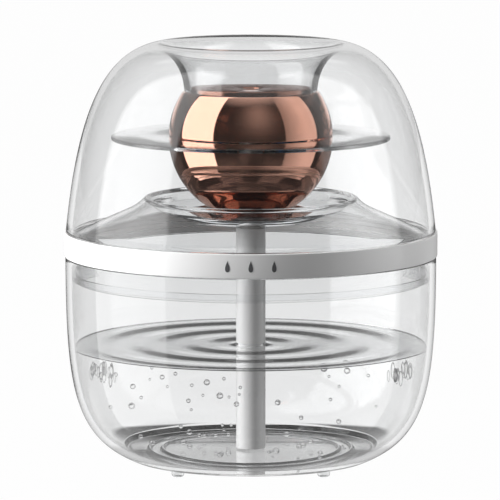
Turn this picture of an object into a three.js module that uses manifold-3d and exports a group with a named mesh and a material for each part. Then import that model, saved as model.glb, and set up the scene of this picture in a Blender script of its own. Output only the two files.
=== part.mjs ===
// Cordless cool mist humidifier: a clear tank, a lift-out head that carries a copper ball
// with the atomizer, and a clear dome cover that funnels the mist out at its mouth.
// Millimetres, +Z up, origin on the table under the middle of the tank.
import * as THREE from 'three';
import { mergeVertices } from 'three/addons/utils/BufferGeometryUtils.js';
import Module from 'manifold-3d';

const wasm = await Module();
wasm.setup();

// ---- driving dimensions -------------------------------------------------------------
const GAP = 0.3;                 // clearance between faces that touch
const FINE = 36;                 // sides of a large turned piece
const COARSE = 24;               // sides of a small turned piece

const BAND_R = 95;               // outer radius of the band, the widest part
const BAND_WALL = 1.4;
const BAND_H = 12.2;
const BAND_PROUD = 0.6;          // how far the band stands out of the clear walls

const WALL = 3;                  // clear wall of the tank
const FLOOR = 2.6;
const TANK_H = 104.3;            // underside of the tank to its shoulder
const TANK_FLAT_R = 47;          // flat underside, on which the feet are glued
const TANK_CORNER_R = 61.5;      // where the corner of the barrel begins
const CORNER_RISE = 0.6;         // underside at the corner above the flat
const WELL_R = 64;               // flat floor inside the tank
const WELL_STEP = 0.4;           // small step around the flat floor
const LIP_WALL = 1.7;
const LIP_H = 3.5;
const RIDGE_RADII = [52.2, 45.4];  // raised rings moulded in the tank floor
const RIDGE_W = 2.4;
const RIDGE_H = 1.2;
const RIDGE_DRAFT = 0.5;

const FOOT_R = 3.2;
const FOOT_H = 3.4;
const FOOT_CIRCLE_R = 52;
const FOOT_COUNT = 4;

const FLANGE_H = 3;              // partition flange, clamped in the band
const FLANGE_STEP = 3.6;         // raised step that centres the dome
const PARTITION_WALL = 2.2;
const SKIRT_DEPTH = 16.3;        // plug skirt below the flange
const SKIRT_PLAY = 2.2;          // room for the seal between skirt and tank
const SEAL_H = 3;
const SAUCER_R = 54.6;
const SAUCER_RISE = 19.4;        // flange step to saucer rim
const SAUCER_DEPTH = 13.6;       // saucer rim to saucer floor
const SAUCER_FLOOR_R = 37;
const SAUCER_FLOOR = 2.4;

const DISH_R = 38.2;             // polished dish under the ball
const DISH_BASE_R = 22.9;
const DISH_H = 5.2;
const DISH_WALL = 1.5;

const BALL_R = 41.7;
const BALL_WALL = 2;
const BALL_STEPS = 6;            // facets of each half, from edge to edge
const BALL_SIDES = 32;
const BALL_LIFT = 0.6;           // ball above the floor of the dish
const DISC_OVERHANG = 29.1;      // equator disc beyond the ball
const DISC_T = 2;
const DISC_TONGUE = 4.6;         // how far the disc reaches in between the shells
const GASKET_R = 12;             // soft washer between the dish and the ball
const GASKET_W = 3;
const GASKET_T = 0.9;

const NECK_R = 30.75;            // inside of the dome's neck, which stands on the ball
const DOME_WALL = 2.9;
const SEAT_MARGIN = 0.95;        // flat on top of the ball beyond the neck that stands on it
const CREST_R = 46.4;
const FUNNEL_H = 25;             // ball's flat to the crest of the dome
const COLLAR_H = 2.5;            // copper collar above the ball's flat
const COLLAR_PLAY = 0.35;
const COLLAR_STEP = 1.2;         // step of the collar over the hole in the ball's flat
const COLLAR_WALL = 1.6;
const MIST_HOLE_R = 5;

const TUBE_R = 7.5;
const TUBE_WALL = 1.3;
const TUBE_CLEAR = 0.8;          // end of the tube above the tank floor
const SOCKET_WALL = 1.2;
const SOCKET_REACH = 5.6;        // socket inside the tube
const LUG_H = 1.4;               // bayonet lugs of the socket
const LUG_REACH = 0.7;
const LUG_W = 2;
const LUG_LIFT = 1;              // lugs above the lower end of the socket
const LUG_HALF_TURN = 0.2;       // half of the angle that a lug takes up, in radians
const SOCKET_TOP = 7;            // socket above the floor of the ball
const SOCKET_RIM = 2.2;          // flange under the partition
const RIM_T = 0.8;
const NUT_R = 10;
const NUT_H = 3.4;
const TWIST_DEG = 40;            // turn that locks the tube
const WICK_R = 4;
const SPRING_WIRE_R = 0.45;
const SPRING_TURNS = 5;
const SPRING_H = 9;
const STRAINER_H = 2.4;
const STRAINER_HOLE_R = 1.1;
const STRAINER_HOLES_AT = 3.4;

const CELL_R = 8;
const CELL_ROOM = 3.9;           // room between the cells and the board above them
const CELL_CENTRE = 20.5;        // each cell's axis from the ball's axis
const FRAME_R = 28;
const FRAME_T = 2;
const FRAME_LIFT = 12;           // frame above the floor of the ball
const POST_R = 2.6;
const POST_ANGLES = [30, 150, 270].map(THREE.MathUtils.degToRad);
const BOARD_R = 31;
const BOARD_T = 1.6;
const BOARD_DROP = 12.3;         // board below the top of the collar
const PIEZO_R = 8;
const PIEZO_T = 0.8;
const PIEZO_DROP = 3.2;          // atomizer below the top of the collar
const BUTTON_R = 4.5;
const BUTTON_OFFSET = 19;        // button in front of the axis
const BUTTON_TRAVEL = 0.8;
const BUTTON_H = 1.9;
const STEM_R = 1.8;
const SWITCH_W = 6;
const SWITCH_H = 3.4;
const PLUNGER_R = 1.7;
const PLUNGER_H = 0.6;
const SCREW_HEAD_R = 2.5;
const SCREW_HEAD_H = 1.6;
const SCREW_R = 1.2;
const SCREW_L = 6;
const INLET = { w: 9, h: 3.2, l: 7 };   // charging inlet: width, height, length
const INLET_DROP = 7;            // inlet below the ball's equator
const CHARGE_BOARD = { w: 12, l: 10, h: 1.2 };

// ---- heights that follow from them --------------------------------------------------
const tankBase = FOOT_H + GAP;
const tankFloor = tankBase + FLOOR;
const shoulder = tankBase + TANK_H;
const lipTop = shoulder + LIP_H;
const bandBottom = shoulder + GAP;
const bandTop = bandBottom + BAND_H;
const flangeBottom = lipTop + GAP;
const flangeTop = flangeBottom + FLANGE_H;
const stepTop = flangeTop + FLANGE_STEP;
const skirtBottom = flangeBottom - SKIRT_DEPTH;
const saucerTop = stepTop + SAUCER_RISE;
const saucerFloor = saucerTop - SAUCER_DEPTH;
const saucerUnder = saucerFloor - SAUCER_FLOOR;
const dishBottom = saucerFloor + GAP;
const dishFloor = dishBottom + DISH_WALL;
const ballCentre = dishFloor + BALL_LIFT + BALL_R;
const seatR = NECK_R + DOME_WALL + SEAT_MARGIN;
const seatZ = ballCentre + Math.sqrt(BALL_R ** 2 - seatR ** 2);
const collarTop = seatZ + COLLAR_H;
const crestZ = seatZ + FUNNEL_H;
const domeShoulder = bandTop + GAP;

const bodyR = BAND_R - BAND_PROUD;             // outside of the tank at its widest
const bandInnerR = BAND_R - BAND_WALL;
const lipR = bandInnerR - GAP;
const skirtR = bodyR - WALL - SKIRT_PLAY;
const stepR = lipR - LIP_WALL;
const collarR = NECK_R - COLLAR_PLAY;
const ballInnerR = BALL_R - BALL_WALL;
const tubeInnerR = TUBE_R - TUBE_WALL;
const socketR = tubeInnerR - GAP;
const socketBoreR = socketR - SOCKET_WALL;
const tubeTop = saucerUnder - GAP;
const tubeBottom = tankFloor + TUBE_CLEAR;
const socketBottom = tubeTop - SOCKET_REACH;

// ---- shape helpers ------------------------------------------------------------------
const bare = (geometry) => {
  geometry.deleteAttribute('normal');
  geometry.deleteAttribute('uv');
  return mergeVertices(geometry, 1e-4);
};

// A profile of [radius, height] points turned about Z. It closes on itself or on the axis.
function turned(profile, sides = COARSE) {
  const area = profile.reduce((sum, [r, z], i) => {
    const [r2, z2] = profile[(i + 1) % profile.length];
    return sum + r * z2 - r2 * z;
  }, 0);
  const points = (area > 0 ? profile : [...profile].reverse())
    .map(([r, z]) => new THREE.Vector2(r, z));
  const onAxis = points.findIndex((p, i) => p.x === 0 && points.at(i - 1).x === 0);
  const ordered = onAxis < 0
    ? [...points, points[0]]
    : [...points.slice(onAxis), ...points.slice(0, onAxis)];
  return bare(new THREE.LatheGeometry(ordered, sides).rotateX(Math.PI / 2));
}

const ring = (inner, outer, low, high, sides = COARSE) =>
  turned([[inner, low], [outer, low], [outer, high], [inner, high]], sides);

const rod = (radius, low, high, sides = COARSE) =>
  turned([[0, low], [radius, low], [radius, high], [0, high]], sides);

const block = (w, d, h, x, y, z) =>
  bare(new THREE.BoxGeometry(w, d, h).translate(x, y, z));

// Points of a cubic curve through the plane, its first and last points included.
function curve(start, pull1, pull2, end, steps) {
  const cubic = new THREE.CubicBezierCurve(
    ...[start, pull1, pull2, end].map(([r, z]) => new THREE.Vector2(r, z)));
  return cubic.getPoints(steps).map((p) => [p.x, p.y]);
}

// The same curve moved sideways by a distance: positive moves it to the left of its travel.
function offset(points, distance) {
  return points.map(([r, z], i) => {
    const [r1, z1] = points[Math.max(i - 1, 0)];
    const [r2, z2] = points[Math.min(i + 1, points.length - 1)];
    const length = Math.hypot(r2 - r1, z2 - z1);
    return [r - (z2 - z1) / length * distance, z + (r2 - r1) / length * distance];
  });
}

// Arc of a circle centred on the axis at a height, between two other heights.
function ballArc(radius, centre, low, high, steps) {
  const from = Math.asin((low - centre) / radius);
  const to = Math.asin((high - centre) / radius);
  return Array.from({ length: steps + 1 }, (_, i) => {
    const a = from + (to - from) * i / steps;
    return [radius * Math.cos(a), centre + radius * Math.sin(a)];
  });
}

function toSolid(geometry) {
  const vertProperties = new Float32Array(geometry.attributes.position.array);
  const triVerts = new Uint32Array(geometry.index.array);
  return new wasm.Manifold(new wasm.Mesh({ numProp: 3, vertProperties, triVerts }));
}

function toGeometry(solid) {
  const mesh = solid.getMesh();
  const geometry = new THREE.BufferGeometry();
  geometry.setAttribute('position', new THREE.BufferAttribute(mesh.vertProperties, 3));
  geometry.setIndex(new THREE.BufferAttribute(mesh.triVerts, 1));
  return geometry;
}

const joined = (...all) =>
  toGeometry(all.map(toSolid).reduce((sum, solid) => sum.add(solid)));

const cut = (base, ...tools) =>
  toGeometry(tools.map(toSolid).reduce((left, tool) => left.subtract(tool), toSolid(base)));

// ---- materials ----------------------------------------------------------------------
const paint = (color, roughness, metalness = 0, extra = {}) =>
  new THREE.MeshStandardMaterial({ color, roughness, metalness, ...extra });
const looks = {
  clear: paint('#eef2f3', 0.05, 0, { transparent: true, opacity: 0.3 }),
  clearSeal: paint('#e6e9ea', 0.3, 0, { transparent: true, opacity: 0.6 }),
  copper: paint('#b5714f', 0.15, 1),
  chrome: paint('#d5d8da', 0.08, 1),
  white: paint('#f2f2f1', 0.4),
  rubber: paint('#c9cbcb', 0.7),
  cotton: paint('#f4f1ea', 0.95),
  board: paint('#2f6b46', 0.5),
  steel: paint('#b9bcc0', 0.3, 1),
  cell: paint('#3f6fa8', 0.45),
  black: paint('#2a2b2d', 0.5),
};

const humidifier = new THREE.Group();
function place(parent, name, geometry, material) {
  const mesh = new THREE.Mesh(geometry, material);
  mesh.name = name;
  parent.add(mesh);
  return mesh;
}
const unit = () => {
  const group = new THREE.Group();
  humidifier.add(group);
  return group;
};

// ---- tank ---------------------------------------------------------------------------
// Outside of the tank, from its flat underside up to the shoulder under the band.
const tankOutline = curve(
  [TANK_CORNER_R, tankBase + CORNER_RISE],
  [bodyR - 3.4, tankBase + TANK_H * 0.12],
  [bodyR, tankBase + TANK_H * 0.37],
  [bodyR, shoulder], 9);

function tankShell() {
  const inside = offset(tankOutline, WALL).filter(([r]) => r > WELL_R + WELL_STEP);
  const ridges = RIDGE_RADII.flatMap((r) => [
    [r + RIDGE_W / 2, tankFloor],
    [r + RIDGE_W / 2 - RIDGE_DRAFT, tankFloor + RIDGE_H],
    [r - RIDGE_W / 2 + RIDGE_DRAFT, tankFloor + RIDGE_H],
    [r - RIDGE_W / 2, tankFloor],
  ]);
  return turned([
    [0, tankBase],
    [TANK_FLAT_R, tankBase],
    ...tankOutline,
    [lipR, shoulder],
    [lipR, lipTop],
    [bodyR - WALL, lipTop],
    ...inside.reverse(),
    [WELL_R, tankFloor],
    ...ridges,
    [0, tankFloor],
  ], FINE);
}

const tank = unit();
place(tank, 'tank_shell', tankShell(), looks.clear);
for (let i = 0; i < FOOT_COUNT; i += 1) {
  const turn = Math.PI / FOOT_COUNT + i * 2 * Math.PI / FOOT_COUNT;
  const foot = place(tank, `foot_${i + 1}`, turned([
    [0, 0], [FOOT_R - 0.6, 0], [FOOT_R, 0.6], [FOOT_R, FOOT_H], [0, FOOT_H],
  ], 20), looks.clearSeal);
  foot.position.set(FOOT_CIRCLE_R * Math.cos(turn), FOOT_CIRCLE_R * Math.sin(turn), 0);
}

// ---- head: band, partition and seal ---------------------------------------------------
const head = unit();

function partition() {
  const rise = saucerTop - stepTop;
  const rimWidth = PARTITION_WALL + 0.4;
  const coneTop = [SAUCER_R + 8.4, stepTop + rise * 0.645];
  const slope = curve(coneTop, [SAUCER_R + 4.2, stepTop + rise * 0.75],
    [SAUCER_R + 1.2, stepTop + rise * 0.88], [SAUCER_R, saucerTop - 0.8], 3);
  const bowl = curve([SAUCER_R - rimWidth, saucerTop - 0.8], [SAUCER_R - 5, saucerTop - 6],
    [SAUCER_FLOOR_R + 7.5, saucerFloor + 1.2], [SAUCER_FLOOR_R, saucerFloor], 5);
  const under = offset([[stepR, stepTop], ...slope.slice(0, -2)], PARTITION_WALL);
  const skirtInR = skirtR - PARTITION_WALL;
  const coneAt = (r) => under[0][1]
    + (under[0][0] - r) * (under[1][1] - under[0][1]) / (under[0][0] - under[1][0]);
  return turned([
    [socketR + GAP, saucerUnder + RIM_T + GAP],
    [socketR + GAP, saucerFloor],
    ...bowl.reverse(),
    [SAUCER_R - rimWidth + 0.8, saucerTop],
    [SAUCER_R - 0.8, saucerTop],
    ...slope.reverse(),
    [stepR, stepTop],
    [stepR, flangeTop],
    [lipR, flangeTop],
    [lipR, flangeBottom],
    [skirtR, flangeBottom],
    [skirtR - 0.4, skirtBottom],
    [skirtInR - 0.4, skirtBottom],
    [skirtInR, coneAt(skirtInR)],
    ...under.slice(1),
    [SAUCER_FLOOR_R + 10.5, saucerFloor + 0.8],
    [SAUCER_FLOOR_R, saucerUnder],
    [socketR + SOCKET_RIM + GAP, saucerUnder],
    [socketR + SOCKET_RIM + GAP, saucerUnder + RIM_T + GAP],
  ], FINE);
}

place(head, 'band_ring', ring(bandInnerR, BAND_R, bandBottom, bandTop, FINE), looks.white);
place(head, 'partition_bell', partition(), looks.clear);
place(head, 'tank_seal', ring(skirtR + GAP, bodyR - WALL - GAP,
  skirtBottom + 1.5, skirtBottom + 1.5 + SEAL_H, FINE), looks.clearSeal);

// ---- head: dish and ball --------------------------------------------------------------
function dish() {
  const outside = curve([DISH_BASE_R, dishBottom], [DISH_BASE_R + 7, dishBottom + 0.3],
    [DISH_R - 0.3, dishBottom + DISH_H - 3.4], [DISH_R, dishBottom + DISH_H], 4);
  const inside = offset(outside, DISH_WALL);
  return turned([
    [socketR + GAP, dishBottom],
    ...outside,
    ...inside.reverse(),
    [socketR + GAP, dishFloor],
  ]);
}

// Outside of a shell of the ball from low to high, then its inside back down.
function ballShell(low, high, innerHigh) {
  const innerLow = Math.max(low, ballCentre - Math.sqrt(ballInnerR ** 2 - holeR ** 2));
  const outside = ballArc(BALL_R, ballCentre, low, high, BALL_STEPS);
  const inside = ballArc(ballInnerR, ballCentre, innerLow, Math.min(high, innerHigh), BALL_STEPS);
  return [...outside, ...inside.reverse()];
}

const halfDisc = DISC_T / 2;
const holeR = socketR + GAP;
const ballLow = ballCentre - Math.sqrt(BALL_R ** 2 - holeR ** 2);
const inletZ = ballCentre - INLET_DROP;

function lowerShell() {
  const shell = turned(ballShell(ballLow, ballCentre - halfDisc - GAP, Infinity), BALL_SIDES);
  const slot = block(INLET.w + 2 * GAP, INLET.l * 3, INLET.h + 2 * GAP,
    0, ballInnerR, inletZ);
  return cut(shell, slot);
}

function upperShell() {
  const flatUnder = seatZ - BALL_WALL;
  const profile = ballShell(ballCentre + halfDisc + GAP, seatZ, flatUnder);
  const outer = profile.slice(0, BALL_STEPS + 1);
  const inner = profile.slice(BALL_STEPS + 1);
  const holeEdge = collarR - COLLAR_STEP;
  return turned([...outer, [holeEdge, seatZ], [holeEdge, flatUnder], ...inner], BALL_SIDES);
}

place(head, 'chrome_dish', dish(), looks.chrome);
place(head, 'ball_gasket', ring(GASKET_R - GASKET_W, GASKET_R,
  dishFloor + GAP, dishFloor + GAP + GASKET_T), looks.rubber);
place(head, 'ball_lower_shell', lowerShell(), looks.copper);
place(head, 'ball_upper_shell', upperShell(), looks.copper);
place(head, 'equator_disc', ring(BALL_R - DISC_TONGUE, BALL_R + DISC_OVERHANG,
  ballCentre - halfDisc, ballCentre + halfDisc, FINE), looks.clear);

// Copper collar: a cap that closes the ball, with the mist hole and the button's hole.
const collarRootR = collarR - COLLAR_STEP - GAP;
const piezoTop = collarTop - PIEZO_DROP;
const capUnder = seatZ - BALL_WALL;
function collar() {
  const cap = turned([
    [MIST_HOLE_R, collarTop - COLLAR_WALL],
    [MIST_HOLE_R + 1, collarTop],
    [collarR - 0.4, collarTop],
    [collarR, collarTop - 0.4],
    [collarR, seatZ + GAP],
    [collarRootR, seatZ + GAP],
    [collarRootR, capUnder],
    [collarRootR - COLLAR_WALL, capUnder],
    [collarRootR - COLLAR_WALL, collarTop - COLLAR_WALL],
  ], BALL_SIDES);
  const hole = rod(BUTTON_R + GAP, capUnder - 1, collarTop + 1, 24)
    .translate(0, -BUTTON_OFFSET, 0);
  return cut(cap, hole);
}
place(head, 'mist_collar', collar(), looks.copper);

// ---- head: what the ball holds ----------------------------------------------------------
const nutFloor = ballCentre - Math.sqrt(ballInnerR ** 2 - NUT_R ** 2) + 2 * GAP;
const boardZ = collarTop - BOARD_DROP;
const frameZ = nutFloor + FRAME_LIFT;
const guideR = WICK_R + GAP + 1.6;
const piezoBottom = piezoTop - PIEZO_T;
const sealR = PIEZO_R + 1.8;

const lugLow = socketBottom + LUG_LIFT;
// Threaded socket: clamps partition, dish and ball together and holds the wick tube.
function socket() {
  const sleeve = turned([
    [socketBoreR, socketBottom],
    [socketR, socketBottom],
    [socketR, saucerUnder + GAP],
    [socketR + SOCKET_RIM, saucerUnder + GAP],
    [socketR + SOCKET_RIM, saucerUnder + RIM_T],
    [socketR, saucerUnder + RIM_T],
    [socketR, nutFloor + SOCKET_TOP],
    [socketBoreR, nutFloor + SOCKET_TOP],
  ]);
  const lug = block(2 * (socketR + LUG_REACH), LUG_W, LUG_H, 0, 0, lugLow + LUG_H / 2);
  const bore = rod(socketBoreR, socketBottom - 1, nutFloor + SOCKET_TOP + 1);
  return cut(joined(sleeve, lug), bore);
}

function tube() {
  const wall = ring(tubeInnerR, TUBE_R, tubeBottom, tubeTop);
  const channelR = tubeInnerR + LUG_REACH;
  const slots = [0, Math.PI].flatMap((side) => {
    const track = new THREE.Shape();
    const from = side - LUG_HALF_TURN;
    const to = side + LUG_HALF_TURN + THREE.MathUtils.degToRad(TWIST_DEG);
    track.absarc(0, 0, channelR, -to, -from, false);
    track.lineTo(0, 0);
    const sweep = bare(new THREE.ExtrudeGeometry(track,
      { depth: LUG_H + 2 * GAP, bevelEnabled: false, curveSegments: 10 }));
    const entry = block(channelR, LUG_W + 2 * GAP, SOCKET_REACH, channelR / 2, 0, 0)
      .rotateZ(LUG_HALF_TURN - to)
      .translate(0, 0, lugLow + SOCKET_REACH / 2);
    return [sweep.translate(0, 0, lugLow - GAP), entry];
  });
  return cut(wall, ...slots);
}

// A copy of a small piece at each post of the inner frame.
const postCircleR = FRAME_R - POST_R;
const atPosts = (make) => POST_ANGLES.map((a) =>
  make().translate(postCircleR * Math.cos(a), postCircleR * Math.sin(a), 0));

function innerFrame() {
  const plate = ring(guideR + GAP, FRAME_R, frameZ, frameZ + FRAME_T);
  const posts = atPosts(() => rod(POST_R, frameZ + FRAME_T / 2, boardZ - GAP, 14));
  const holes = atPosts(() => rod(SCREW_R + GAP, boardZ - SCREW_L - 1, boardZ + 1, 12));
  return cut(joined(plate, ...posts), ...holes);
}

place(head, 'tube_socket', socket(), looks.white);
place(head, 'socket_nut', cut(rod(NUT_R, nutFloor, nutFloor + NUT_H, 6),
  rod(socketR + GAP, nutFloor - 1, nutFloor + NUT_H + 1)), looks.steel);
place(head, 'inner_frame', innerFrame(), looks.white);
place(head, 'wick_guide', turned([
  [WICK_R + GAP, nutFloor + 8],
  [guideR, nutFloor + 8],
  [guideR, piezoBottom - 5.5],
  [sealR + 1.6, piezoBottom - 3],
  [sealR + 1.6, piezoTop],
  [sealR + GAP, piezoTop],
  [sealR + GAP, piezoBottom - 1.6],
  [WICK_R + GAP, piezoBottom - 1.6],
]), looks.white);
place(head, 'atomizer_seal', turned([
  [PIEZO_R - 1.6, piezoBottom - 1.3],
  [sealR, piezoBottom - 1.3],
  [sealR, piezoTop - 0.1],
  [PIEZO_R + GAP, piezoTop - 0.1],
  [PIEZO_R + GAP, piezoBottom - GAP],
  [PIEZO_R - 1.6, piezoBottom - GAP],
]), looks.rubber);
place(head, 'atomizer_disc', rod(PIEZO_R, piezoBottom, piezoTop), looks.steel);
place(head, 'cotton_wick', rod(WICK_R, tubeBottom + STRAINER_H + SPRING_H + 2 * GAP,
  piezoBottom - GAP, 18), looks.cotton);

for (const [i, side] of [-1, 1].entries()) {
  const low = frameZ + FRAME_T + GAP;
  const high = boardZ - CELL_ROOM;
  const cell = place(head, `battery_cell_${i + 1}`, turned([
    [0, low], [CELL_R, low], [CELL_R, high - 1], [3, high - 1], [3, high], [0, high],
  ], 20), looks.cell);
  cell.position.x = side * CELL_CENTRE;
}

function board() {
  const plate = ring(sealR + 2, BOARD_R, boardZ, boardZ + BOARD_T);
  const holes = atPosts(() => rod(SCREW_R + GAP, boardZ - 1, boardZ + BOARD_T + 1, 12));
  return cut(plate, ...holes);
}
place(head, 'control_board', board(), looks.board);
const boardTop = boardZ + BOARD_T + GAP;
atPosts(() => turned([
  [0, boardTop - SCREW_L], [SCREW_R, boardTop - SCREW_L], [SCREW_R, boardTop],
  [SCREW_HEAD_R, boardTop], [SCREW_HEAD_R - 0.6, boardTop + SCREW_HEAD_H],
  [0, boardTop + SCREW_HEAD_H],
], 12)).forEach((screw, i) => place(head, `board_screw_${i + 1}`, screw, looks.steel));

const switchLow = boardTop;
place(head, 'tact_switch', joined(
  block(SWITCH_W, SWITCH_W, SWITCH_H, 0, 0, switchLow + SWITCH_H / 2),
  rod(PLUNGER_R, switchLow + SWITCH_H / 2, switchLow + SWITCH_H + PLUNGER_H, 14),
).translate(0, -BUTTON_OFFSET, 0), looks.black);

// Charging inlet at the back of the ball, on its own small board behind the frame.
const inletFace = Math.sqrt(BALL_R ** 2 - INLET_DROP ** 2) - 0.6;
place(head, 'charge_inlet', cut(
  block(INLET.w, INLET.l, INLET.h, 0, inletFace - INLET.l / 2, inletZ),
  block(INLET.w - 1, INLET.l, INLET.h - 1, 0, inletFace - INLET.l / 2 + 1.2, inletZ),
), looks.steel);
place(head, 'charge_board', block(CHARGE_BOARD.w, CHARGE_BOARD.l, CHARGE_BOARD.h,
  0, inletFace - INLET.l - 2, inletZ - INLET.h / 2 - GAP - CHARGE_BOARD.h / 2), looks.board);

// ---- power button -----------------------------------------------------------------------
const stemFoot = switchLow + SWITCH_H + PLUNGER_H + BUTTON_TRAVEL + GAP;
place(unit(), 'power_button', turned([
  [0, stemFoot], [STEM_R, stemFoot], [STEM_R, collarTop - BUTTON_H],
  [BUTTON_R, collarTop - BUTTON_H],
  [BUTTON_R, collarTop - 0.3], [BUTTON_R - 0.3, collarTop], [0, collarTop],
], 24).translate(0, -BUTTON_OFFSET, 0), looks.copper);

// ---- wick tube --------------------------------------------------------------------------
const tubeUnit = unit();
place(tubeUnit, 'wick_tube', tube(), looks.white);

function strainer() {
  const plug = rod(tubeInnerR - GAP, tubeBottom, tubeBottom + STRAINER_H);
  const holes = [45, 135, 225, 315].map((deg) => {
    const a = THREE.MathUtils.degToRad(deg);
    return rod(STRAINER_HOLE_R, tubeBottom - 1, tubeBottom + STRAINER_H + 1, 10)
      .translate(STRAINER_HOLES_AT * Math.cos(a), STRAINER_HOLES_AT * Math.sin(a), 0);
  });
  return cut(plug, ...holes);
}
place(tubeUnit, 'tube_strainer', strainer(), looks.white);

function spring() {
  const rise = SPRING_H - 2 * SPRING_WIRE_R;
  const low = tubeBottom + STRAINER_H + GAP + SPRING_WIRE_R;
  class Helix extends THREE.Curve {
    getPoint(t, target = new THREE.Vector3()) {
      const a = t * SPRING_TURNS * 2 * Math.PI;
      const r = tubeInnerR - 1.6;
      return target.set(r * Math.cos(a), r * Math.sin(a), low + rise * t);
    }
  }
  const wire = new THREE.Shape();
  wire.absarc(0, 0, SPRING_WIRE_R, 0, 2 * Math.PI, false);
  return bare(new THREE.ExtrudeGeometry(wire, {
    steps: SPRING_TURNS * 10, curveSegments: 3, extrudePath: new Helix(), bevelEnabled: false,
  }));
}
place(tubeUnit, 'wick_spring', spring(), looks.steel);

// ---- dome cover -------------------------------------------------------------------------
// One clear shell: barrel wall, rounded crest, and a funnel that comes back down to the ball.
function dome() {
  const height = crestZ - domeShoulder;
  const barrel = curve(
    [bodyR - 0.3, domeShoulder],
    [bodyR - 6, domeShoulder + height * 0.583],
    [CREST_R + 30, crestZ - 4.2],
    [CREST_R, crestZ], 10);
  const neckZ = seatZ + GAP;
  const funnel = curve([CREST_R, crestZ], [CREST_R - 8.3, crestZ],
    [NECK_R + 0.8, neckZ + 13.3], [NECK_R, neckZ], 6);
  const outside = [...barrel, ...funnel.slice(1)];
  const inside = offset(outside, DOME_WALL)
    .filter(([r, z]) => r < CREST_R || z > bandTop + 1)
    .slice(0, -1);
  const lipIn = stepR + GAP;
  return turned([
    [lipIn, flangeTop + GAP],
    [lipR, flangeTop + GAP],
    [lipR, domeShoulder],
    ...outside,
    [NECK_R + DOME_WALL, neckZ],
    ...inside.reverse(),
    [bodyR - WALL - 0.4, bandTop - 0.4],
    [lipIn, stepTop + 0.3],
  ], FINE);
}
place(unit(), 'dome_cover', dome(), looks.clear);

export default humidifier;
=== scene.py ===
"""Cordless cool mist humidifier: clear tank, lift-out head with a copper ball, clear dome.

The sections follow the order in which the humidifier is put together.
"""
import math
import bmesh
import bpy
import numpy as np
from mathutils import Matrix, Vector


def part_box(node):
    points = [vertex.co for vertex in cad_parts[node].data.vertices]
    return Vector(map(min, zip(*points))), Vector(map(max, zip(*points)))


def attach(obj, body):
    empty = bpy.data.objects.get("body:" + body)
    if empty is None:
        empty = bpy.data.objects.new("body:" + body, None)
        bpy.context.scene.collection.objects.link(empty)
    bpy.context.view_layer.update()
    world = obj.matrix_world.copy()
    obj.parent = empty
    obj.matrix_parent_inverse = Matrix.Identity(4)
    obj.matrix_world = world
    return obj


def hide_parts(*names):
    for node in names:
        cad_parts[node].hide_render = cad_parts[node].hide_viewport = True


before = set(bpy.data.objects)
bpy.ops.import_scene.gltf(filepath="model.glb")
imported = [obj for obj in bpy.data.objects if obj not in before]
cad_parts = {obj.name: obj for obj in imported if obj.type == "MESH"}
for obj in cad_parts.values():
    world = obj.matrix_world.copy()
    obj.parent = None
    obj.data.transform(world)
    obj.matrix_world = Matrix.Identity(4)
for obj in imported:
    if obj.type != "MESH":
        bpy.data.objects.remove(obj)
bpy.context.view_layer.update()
MM = 0.001


# ==============================================
# Studio: a pale sweep, a camera a little above the middle, and soft boxes left and right.
# The set is a world shader, so that mirrors see a dark room and two tall lit panels, and
# clear parts see the white sweep behind them.
# ==============================================
CAMERA_DISTANCE = 2.4
CAMERA_RISE = math.radians(7.4)
CAMERA_LENS = 339.2
AIM = Vector((-0.0004, 0.0, 0.1104))
# angles of the set are in degrees: azimuth 0 is the front, and the right is positive
LEFT_PANEL = {"across": (-112, -54), "up": (-37, 78), "blur": 0.8}
RIGHT_PANEL = {"across": (50, 106), "up": (-37, 76), "blur": 1.2}
PANEL_END_BLUR = 1.5
RIGHT_PANEL_FADE = {"start": 46.0, "end": 84.0, "low": 0.25}
FRONT_GLOW = {"at_azimuth": 12.0, "at_height": 36.0, "spread": 24.0}
WHITE_SWEEP = 1.0
MATT_FILL = 0.2
FLOOR_REACH = 6.0
FLOOR_WHITE = 0.985
# painted shade under the tank, a lowered glow of the floor: its outer edge, how much further out
# that lies behind, how white the shade is at the sides, and the pale core inside it
SHADE_R = 74.0 * MM
SHADE_MORE_BEHIND = 30.0 * MM
SHADE_EDGE = 6.0 * MM
SHADE_SIDES = 0.6
CORE_R = 56.0 * MM
CORE_WHITE = 0.8


def add_camera():
    data = bpy.data.cameras.new("camera")
    data.lens = CAMERA_LENS
    data.clip_end = 50
    camera = bpy.data.objects.new("camera", data)
    camera.location = AIM + CAMERA_DISTANCE * Vector(
        (0.0, -math.cos(CAMERA_RISE), math.sin(CAMERA_RISE)))
    camera.rotation_euler = (math.pi / 2 - CAMERA_RISE, 0, 0)
    bpy.context.scene.collection.objects.link(camera)
    bpy.context.scene.camera = camera


def link(tree, source, target):
    tree.links.new(source, target)


def add_node(tree, kind, inputs=None, **settings):
    """A node of a kind, its settings, and its inputs given as values or as sockets."""
    made = tree.nodes.new(kind)
    for key, value in settings.items():
        setattr(made, key, value)
    for key, value in (inputs or {}).items():
        socket = made.inputs[key]
        if isinstance(value, bpy.types.NodeSocket):
            link(tree, value, socket)
        else:
            socket.default_value = value
    return made


def math_node(tree, operation, *values):
    made = tree.nodes.new("ShaderNodeMath")
    made.operation = operation
    for socket, value in zip(made.inputs, values):
        if isinstance(value, bpy.types.NodeSocket):
            link(tree, value, socket)
        else:
            socket.default_value = value
    return made.outputs[0]


def ramp(tree, value, start, end, low=0.0, high=1.0):
    """Goes from low to high as a value goes from start to end, and stays level past both."""
    return add_node(tree, "ShaderNodeMapRange", {
        "Value": value, "From Min": start, "From Max": end,
        "To Min": low, "To Max": high}).outputs[0]


def soft_window(tree, angle, low, high, blur):
    """1 where an angle lies between low and high, with blurred edges."""
    return math_node(tree, "MULTIPLY", ramp(tree, angle, low - blur, low + blur),
                     ramp(tree, angle, high + blur, high - blur))


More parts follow.
